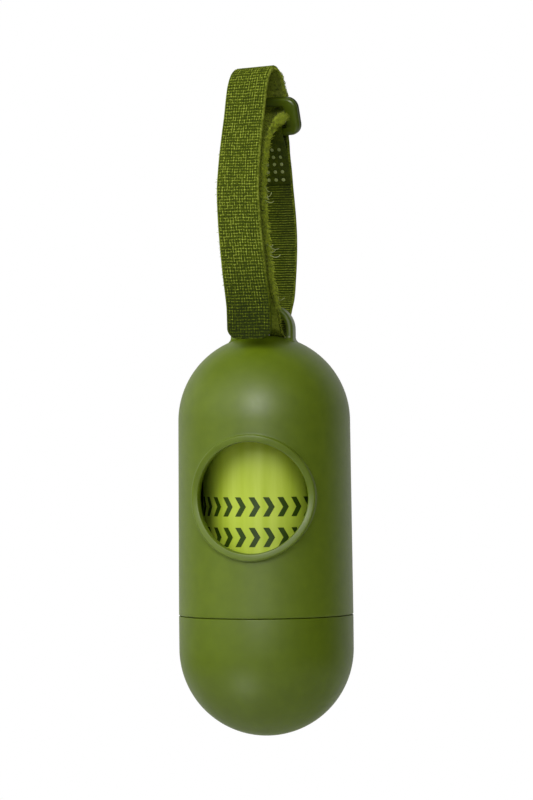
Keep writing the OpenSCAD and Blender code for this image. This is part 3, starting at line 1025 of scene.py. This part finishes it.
def build_pile():
    """Short pile all over, longer on the front strand, with more of it on the rise and the edges."""
    stations = rng.integers(int(np.argmax(RUN > 2 * HEM_L)), PILE_END, PILE_COUNT)
    on_rise = (ROUTE[:, 1] > PILE_RISE_FROM) & (NUMBER < PILE_RISE_END) & (NUMBER > EYE_STATION)
    stations[:PILE_ON_RISE] = rng.choice(np.flatnonzero(on_rise), PILE_ON_RISE)
    across = rng.uniform(-1, 1, PILE_COUNT)
    fluffy = stations > EYE_STATION
    on_edge = (rng.random(PILE_COUNT) < PILE_EDGE_SHARE) & fluffy
    at_edge = np.sign(across) * rng.uniform(PILE_EDGE, 1.0, PILE_COUNT)
    across = np.where(on_edge, at_edge, across * PILE_EDGE)
    long = rng.uniform(*PILE_LONG, PILE_COUNT)
    short = rng.uniform(*PILE_SHORT, PILE_COUNT)
    length = np.where(fluffy, long, short)
    lean = rng.normal(0, PILE_LEAN, PILE_COUNT)
    drift = rng.normal(0, PILE_LEAN, PILE_COUNT)
    past = smoothstep((np.abs(across) - PILE_PAST) / (1 - PILE_PAST))
    t = np.linspace(0, 1, 5)[:, None]
    rise = STRAP_T / 2 - PILE_ROOT + length * (t - PILE_DROOP * t * t) * (1 - PILE_OUT_FLAT * past)
    rise = rise - PILE_OUT_SINK * past * (1 - t)
    along = length * (lean * t + PILE_WAVE * np.sin(PILE_RATE * t + PILE_PHASE * lean))
    sideways = across * STRAP_W / 2 + length * (drift * t * t + np.sign(across) * past * t * PILE_OUT)
    loose_fibres("strap_pile", FIBRE, stations, sideways, rise, along, PILE_R)


# Fluff on the edges of the front strand and the rise, most of it on the right and in the buckle's slot
FLUFF_COUNT = 8000
FLUFF_TOP = BAR_POINT[1] + 1.9 * BAR_PITCH
FLUFF_SLOT_REPEAT = 8
FLUFF_IN = 0.5
FLUFF_H = (0.5, 1.65)
FLUFF_OUT = 1.3
FLUFF_OUT_POWER = 1.6
FLUFF_OUT_ABOVE = 0.25
FLUFF_OUT_BESIDE = 0.7
FLUFF_RIGHT = 0.75
FLUFF_LOWERED = 0.65
FLUFF_SLIDE = 0.35
FLUFF_ROOT = (-0.5, 0.45)
FLUFF_WAVE = 0.2
FLUFF_RATE = 5
FLUFF_R = 0.06 * np.array([1, 1, 1, 0.9, 0.6])


def build_edge_fluff():
    """Dense fluff combed out of the pile."""
    height = ROUTE[:, 1]
    front = np.flatnonzero((NUMBER > EYE_STATION) & (NUMBER < TOP) & (height > EYE_Z) & (height < FLUFF_TOP))
    in_slot = front[np.abs(height[front] - BAR_POINT[1] - BAR_PITCH / 2) < SLOT_H / 2]
    stations = rng.choice(np.concatenate([front, np.repeat(in_slot, FLUFF_SLOT_REPEAT)]), FLUFF_COUNT)
    across = STRAP_W / 2 - rng.uniform(0, FLUFF_IN, FLUFF_COUNT)
    lift = rng.uniform(*FLUFF_H, FLUFF_COUNT)
    out = FLUFF_OUT * rng.random(FLUFF_COUNT) ** FLUFF_OUT_POWER
    above_bar = (height[stations] - BAR_POINT[1]) / BAR_PITCH
    beside_buckle = np.isin(stations, in_slot)
    out *= np.where(above_bar > 1, FLUFF_OUT_ABOVE, 1 + FLUFF_OUT_BESIDE * beside_buckle)
    hand = np.where((rng.random(FLUFF_COUNT) < FLUFF_RIGHT) | beside_buckle, 1, -1)
    lift *= 1 - FLUFF_LOWERED * smoothstep(above_bar)
    slide = rng.normal(0, FLUFF_SLIDE, FLUFF_COUNT)
    curl = rng.uniform(0, CURL_TURN, FLUFF_COUNT)
    t = np.linspace(0, 1, 5)[:, None]
    rise = rng.uniform(*FLUFF_ROOT, FLUFF_COUNT) * STRAP_T + lift * t
    sideways = hand * (across + out * t + FLUFF_WAVE * np.sin(FLUFF_RATE * t + curl))
    along = slide * t + FLUFF_WAVE * np.cos(FLUFF_RATE * t + curl)
    loose_fibres("edge_fluff", FIBRE, stations, sideways, rise, along, FLUFF_R)


# Long loose fibres, two at each height
STRAY_HEIGHTS = EYE_Z + np.repeat([26.0, 24.4, 14.6, 10.6, 1.8], 2)
STRAY_SPREAD = 0.6
STRAY_L = (1.0, 2.8)
STRAY_TILT = 0.8
STRAY_ROOT = 0.3
STRAY_SWAY = 0.35
STRAY_SWING = 0.45
STRAY_RATE = 7
STRAY_LIFT = 0.4
STRAY_LIFT_RATE = 4
STRAY_R = 0.08


def build_stray_fibres():
    """A few long loose fibres that curl off the right edge of the front strand."""
    count = len(STRAY_HEIGHTS)
    heights = STRAY_HEIGHTS + rng.normal(0, STRAY_SPREAD, count)
    front = np.arange(EYE_STATION, TOP)
    stations = np.array([front[np.argmin(np.abs(ROUTE[front, 1] - h))] for h in heights])
    length = rng.uniform(*STRAY_L, count)
    curl = rng.uniform(0, CURL_TURN, count)
    tilt = rng.uniform(-STRAY_TILT, STRAY_TILT, count)
    t = np.linspace(0, 1, 12)[:, None]
    sideways = STRAP_W / 2 - STRAY_ROOT + length * t + STRAY_SWAY * t * np.cos(STRAY_RATE * t + curl)
    along = length * tilt * t + STRAY_SWING * t * np.sin(STRAY_RATE * t + curl)
    rise = STRAP_T / 2 + STRAY_LIFT * t * np.sin(STRAY_LIFT_RATE * t + curl)
    loose_fibres("stray_fibres", STRAY, stations, sideways, rise, along, STRAY_R)


# Buckle: a ring with wide sides and a round lower bar

def reach_of(phi, width, height, radius):
    """Distance from the middle of a rounded rectangle to its outline, at each angle."""
    low, high = np.zeros_like(phi), np.full_like(phi, width + height)
    for _ in range(40):
        mid = (low + high) / 2
        x = np.abs(mid * np.cos(phi)) - width / 2 + radius
        y = np.abs(mid * np.sin(phi)) - height / 2 + radius
        gap = np.hypot(np.maximum(x, 0), np.maximum(y, 0)) + np.minimum(np.maximum(x, y), 0) - radius
        low, high = np.where(gap < 0, mid, low), np.where(gap < 0, high, mid)
    return low


def build_buckle():
    phi = np.linspace(0, FULL_TURN, 161)[:, None]
    inner = reach_of(phi, SLOT_W, SLOT_H, SLOT_CORNER)
    outer = reach_of(phi, BUCKLE_W, SLOT_H + 2 * BAR, BUCKLE_CORNER)
    middle, half = (inner + outer) / 2, (outer - inner) / 2
    below, beside = -middle * np.sin(phi), np.abs(middle * np.cos(phi))
    rounded = smoothstep((below - ROUND_BAR_FROM) / ROUND_BAR_FADE)
    rounded = rounded * smoothstep((ROUND_BAR_HALF - beside) / ROUND_BAR_END)
    thick = mix(BUCKLE_T / 2, BAR / 2, rounded)
    edge = np.minimum(half, mix(BUCKLE_EDGE, BAR / 2, rounded))
    corner = np.radians(np.linspace(0, 360, 33))
    c, s = np.cos(corner), np.sin(corner)
    r = middle + np.sign(c) * (half - edge) + edge * c
    b = np.sign(s) * np.maximum(thick - edge, 0) + np.minimum(edge, thick) * s
    flat = np.stack([r * np.cos(phi), -b, r * np.sin(phi) + BAR_PITCH / 2], -1)
    lean = Matrix.Rotation(-TURN_AT_BAR, 3, "Z") @ Matrix.Rotation(BUCKLE_LEAN, 3, "X")
    patch = flat @ np.array(lean).T + in_strap(BUCKLE_LIE, BAR_POINT)
    finished(mesh_object("buckle_ring", [patch]), GLOSS, "buckle", "buckle_plastic", "buckle")


build_shell()
build_cap()
build_roll()
build_core()
build_first_bag()
build_strap()
build_hooks()
build_welds()
build_pile()
build_edge_fluff()
build_stray_fibres()
build_buckle()


# Stage, light and camera

AIM_Z = -53.42
AIM_RIGHT = 0.573
CAMERA_TURN = math.radians(10)
CAMERA_RISE = math.radians(0.25)
CAMERA_ROLL = math.radians(0.6)
CAMERA_DISTANCE = 1000
CAMERA_LENS = 196.3
CAMERA_SENSOR = 36
FLOOR_FADE = (0.6, 0.95)
MIRROR_FADE = (0.15, 0.75)
MIRROR_BEHIND = 0.75


def background_share(tree):
    """1 for what the camera sees directly, mirrored or through glass."""
    path = node(tree, "LightPath").outputs
    seen = calc(tree, "MAXIMUM", path["Is Camera Ray"], path["Is Glossy Ray"])
    return calc(tree, "MAXIMUM", seen, path["Is Transmission Ray"])


def build_floor(radius, drop):
    """Pale disc under the hanging capsule, which fades into the white world."""
    turn = np.linspace(0, FULL_TURN, 97)
    floor = mesh_object("floor", [lathe([(0, -drop), (radius / 2, -drop), (radius, -drop)], turn)])
    material, tree, surface = new_material("pale_floor")
    dress(tree, surface, {"Base Color": linear(240, 240, 238), "Roughness": 0.9})
    place = node(tree, "VectorMath", {"operation": "LENGTH"}, in0=object_place(tree, (1.0, 1.0, 0.0)))
    far = ease(tree, place.outputs["Value"], *(share * radius for share in FLOOR_FADE))
    white = node(tree, "Emission", Strength=1.0)
    share = calc(tree, "MULTIPLY", far, background_share(tree))
    mixed = node(tree, "MixShader", in0=share, in1=surface.outputs[0], in2=white.outputs[0])
    tree.links.new(mixed.outputs[0], tree.nodes["Material Output"].inputs["Surface"])
    floor.data.materials.append(material)


def build_world(level, mirror_level):
    """White wherever the camera looks. In gloss it is pale behind the object and dim in front of it."""
    world = bpy.data.worlds.new("white_world")
    world.use_nodes = True
    bpy.context.scene.world = world
    tree = world.node_tree
    path = node(tree, "LightPath").outputs
    way = node(tree, "SeparateXYZ", Vector=node(tree, "TexCoord").outputs["Generated"]).outputs
    behind = ease(tree, way["Y"], *MIRROR_FADE, top=MIRROR_BEHIND)
    mirrored = calc(tree, "MULTIPLY", path["Is Glossy Ray"], behind)
    seen = calc(tree, "MAXIMUM", path["Is Camera Ray"], path["Is Transmission Ray"])
    ambient = calc(tree, "MULTIPLY_ADD", path["Is Glossy Ray"], mirror_level - level, level)
    strength = calc(tree, "MAXIMUM", ambient, calc(tree, "MAXIMUM", seen, mirrored))
    dress(tree, tree.nodes["Background"], {"Strength": strength, "Color": (1, 1, 1, 1)})


def way_to(turn, rise):
    """Direction from the capsule to a place at a turn from the front and a rise."""
    return Vector((math.sin(turn) * math.cos(rise), -math.cos(turn) * math.cos(rise), math.sin(rise)))


def lamp(name, turn, rise, distance, size, power, lights=True, mirrors=True, aim_z=AIM_Z):
    """Soft square lamp at a turn and rise from the camera's side, in degrees, aimed at the capsule."""
    light = bpy.data.lights.new(name, "AREA")
    light.size = size * MM
    light.energy = power
    made = add_object(name, light)
    way = way_to(CAMERA_TURN + math.radians(turn), math.radians(rise))
    made.location = (Vector((0, 0, aim_z)) + distance * way) * MM
    made.rotation_euler = way.to_track_quat("Z", "Y").to_euler()
    made.visible_diffuse = lights
    made.visible_glossy = mirrors
    made.visible_camera = False


def build_camera():
    data = bpy.data.cameras.new("camera")
    data.sensor_fit = "VERTICAL"
    data.sensor_height = CAMERA_SENSOR
    data.lens = CAMERA_LENS
    camera = add_object("camera", data)
    right = Vector((math.cos(CAMERA_TURN), math.sin(CAMERA_TURN), 0))
    back = way_to(CAMERA_TURN, CAMERA_RISE)
    aim = Vector((0, 0, AIM_Z)) + AIM_RIGHT * right
    turn = Matrix((right, back.cross(right), back)).transposed() @ Matrix.Rotation(-CAMERA_ROLL, 3, "Z")
    camera.matrix_world = Matrix.Translation((aim + CAMERA_DISTANCE * back) * MM) @ turn.to_4x4()
    bpy.context.scene.camera = camera


build_floor(radius=300, drop=90)
build_world(level=0.13, mirror_level=0.02)
lamp("left_key", turn=-50, rise=38, distance=1000, size=1000, power=8.5, mirrors=False)
lamp("front_fill", turn=14, rise=24, distance=1000, size=600, power=2.0, mirrors=False)
lamp("upper_sheen", turn=-11, rise=24, distance=900, size=300, power=6.0, lights=False)
lamp("side_sheen", turn=-112, rise=12, distance=900, size=700, power=1.0, lights=False)
lamp("left_sheen", turn=-65, rise=14, distance=900, size=700, power=1.6, lights=False)
lamp("lower_sheen", turn=-33, rise=-38, distance=120, size=40, power=0.026, lights=False, aim_z=BASE + 13)
build_camera()
bpy.context.scene.view_settings.view_transform = "Standard"
